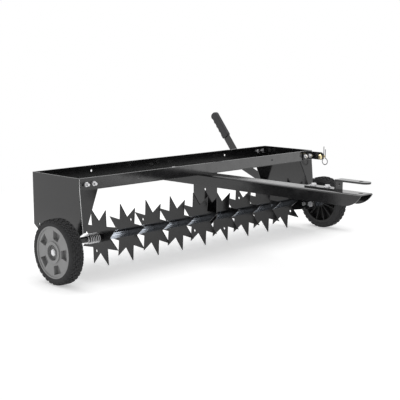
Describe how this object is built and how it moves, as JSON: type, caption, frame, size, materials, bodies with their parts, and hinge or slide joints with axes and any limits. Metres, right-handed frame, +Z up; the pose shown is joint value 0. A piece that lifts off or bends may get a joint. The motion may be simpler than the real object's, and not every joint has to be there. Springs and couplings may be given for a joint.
{
  "type": "tow-behind spike aerator",
  "caption": "Tow-behind lawn aerator with a weight tray, a channel tongue and clevis hitch, free-turning star spikes and wheels raised by a side lever",
  "frame": {"origin": "On the ground, under the middle of the machine's overall width and length", "axes": "+X to the right seen from behind the hitch end looking rearward, +Y to the rear, +Z up"},
  "size_m": [1.204, 1.0824, 0.3883],
  "materials": {
    "black_powder_coat": "glossy powder coat",
    "black_star_steel": "glossy powder coat",
    "zinc_tube": "bluish zinc plate",
    "bright_zinc": "bright zinc plate",
    "spring_steel": "drawn wire",
    "yellow_zinc": "yellow zinc plate",
    "bush_plastic": "moulded nylon",
    "grip_plastic": "moulded grip, satin",
    "grey_hub_plastic": "moulded grey plastic",
    "black_hub_plastic": "moulded black plastic",
    "tyre_rubber": "moulded tread"
  },
  "bodies": {
    "frame": {"tray_floor": "black_powder_coat", "tray_front_wall": "black_powder_coat", "tray_rear_wall": "black_powder_coat", "left_end_plate": "black_powder_coat", "right_end_plate": "black_powder_coat", "tongue": "black_powder_coat", "hitch_strap": "black_powder_coat", "hitch_bolts": "bright_zinc", "hitch_washers": "bright_zinc", "hitch_nuts": "bright_zinc", "tongue_bolts": "bright_zinc", "tongue_nuts": "bright_zinc", "shaft_hanger": "black_powder_coat", "hanger_bolts": "bright_zinc", "hanger_nuts": "bright_zinc", "corner_bolts": "bright_zinc", "corner_nuts": "bright_zinc", "shaft_bushes": "bush_plastic", "stop_bolts": "bright_zinc", "stop_nuts": "bright_zinc", "latch_bracket": "black_powder_coat"},
    "latch_pin": {"latch_pin": "yellow_zinc"},
    "latch_clip": {"latch_clip": "spring_steel"},
    "axle": {"star_shaft": "black_powder_coat", "left_crank": "black_powder_coat", "right_crank": "black_powder_coat", "crank_bolts": "bright_zinc", "crank_nuts": "bright_zinc", "spacer_1": "zinc_tube", "spacer_2": "zinc_tube", "spacer_3": "zinc_tube", "spacer_4": "zinc_tube", "spacer_5": "zinc_tube", "spacer_6": "zinc_tube", "spacer_7": "zinc_tube", "spacer_8": "zinc_tube", "spacer_9": "zinc_tube", "end_spacer": "zinc_tube", "stack_spring": "bright_zinc", "spring_washer": "bright_zinc", "spring_cotter": "bright_zinc", "lever_bar": "black_powder_coat", "lever_grip": "grip_plastic", "wheel_spindles": "bright_zinc", "wheel_sleeves": "zinc_tube", "wheel_nuts": "bright_zinc"},
    "left_wheel": {"left_hub": "grey_hub_plastic", "left_tyre": "tyre_rubber"},
    "right_wheel": {"right_hub": "black_hub_plastic", "right_tyre": "tyre_rubber"},
    "star_1": {"star_1": "black_star_steel"},
    "star_2": {"star_2": "black_star_steel"},
    "star_3": {"star_3": "black_star_steel"},
    "star_4": {"star_4": "black_star_steel"},
    "star_5": {"star_5": "black_star_steel"},
    "star_6": {"star_6": "black_star_steel"},
    "star_7": {"star_7": "black_star_steel"},
    "star_8": {"star_8": "black_star_steel"},
    "star_9": {"star_9": "black_star_steel"}
  },
  "joints": [
    {"name": "wheel_height_lever", "type": "hinge", "parent": "frame", "child": "axle", "pos_m": [0, 0.15378, 0.083], "axis": [1, 0, 0], "range_deg": [0, 107.2]},
    {"name": "left_wheel_spin", "type": "hinge", "parent": "axle", "child": "left_wheel", "pos_m": [-0.5805, 0.05178, 0.09], "axis": [1, 0, 0], "continuous": true},
    {"name": "right_wheel_spin", "type": "hinge", "parent": "axle", "child": "right_wheel", "pos_m": [0.5805, 0.05178, 0.09], "axis": [1, 0, 0], "continuous": true},
    {"name": "latch_pin_slide", "type": "slide", "parent": "frame", "child": "latch_pin", "axis": [-1, 0, 0], "range_m": [0, 0.0012]},
    {"name": "latch_clip_slide", "type": "slide", "parent": "latch_pin", "child": "latch_clip", "axis": [0, 0, -1], "range_m": [0, 0.04]},
    {"name": "star_1_spin", "type": "hinge", "parent": "axle", "child": "star_1", "pos_m": [-0.3552, 0.15378, 0.083], "axis": [1, 0, 0], "continuous": true},
    {"name": "star_2_spin", "type": "hinge", "parent": "axle", "child": "star_2", "pos_m": [-0.2519, 0.15378, 0.083], "axis": [1, 0, 0], "continuous": true},
    {"name": "star_3_spin", "type": "hinge", "parent": "axle", "child": "star_3", "pos_m": [-0.1486, 0.15378, 0.083], "axis": [1, 0, 0], "continuous": true},
    {"name": "star_4_spin", "type": "hinge", "parent": "axle", "child": "star_4", "pos_m": [-0.0453, 0.15378, 0.083], "axis": [1, 0, 0], "continuous": true},
    {"name": "star_5_spin", "type": "hinge", "parent": "axle", "child": "star_5", "pos_m": [0.058, 0.15378, 0.083], "axis": [1, 0, 0], "continuous": true},
    {"name": "star_6_spin", "type": "hinge", "parent": "axle", "child": "star_6", "pos_m": [0.1613, 0.15378, 0.083], "axis": [1, 0, 0], "continuous": true},
    {"name": "star_7_spin", "type": "hinge", "parent": "axle", "child": "star_7", "pos_m": [0.2646, 0.15378, 0.083], "axis": [1, 0, 0], "continuous": true},
    {"name": "star_8_spin", "type": "hinge", "parent": "axle", "child": "star_8", "pos_m": [0.3679, 0.15378, 0.083], "axis": [1, 0, 0], "continuous": true},
    {"name": "star_9_spin", "type": "hinge", "parent": "axle", "child": "star_9", "pos_m": [0.4712, 0.15378, 0.083], "axis": [1, 0, 0], "continuous": true}
  ]
}
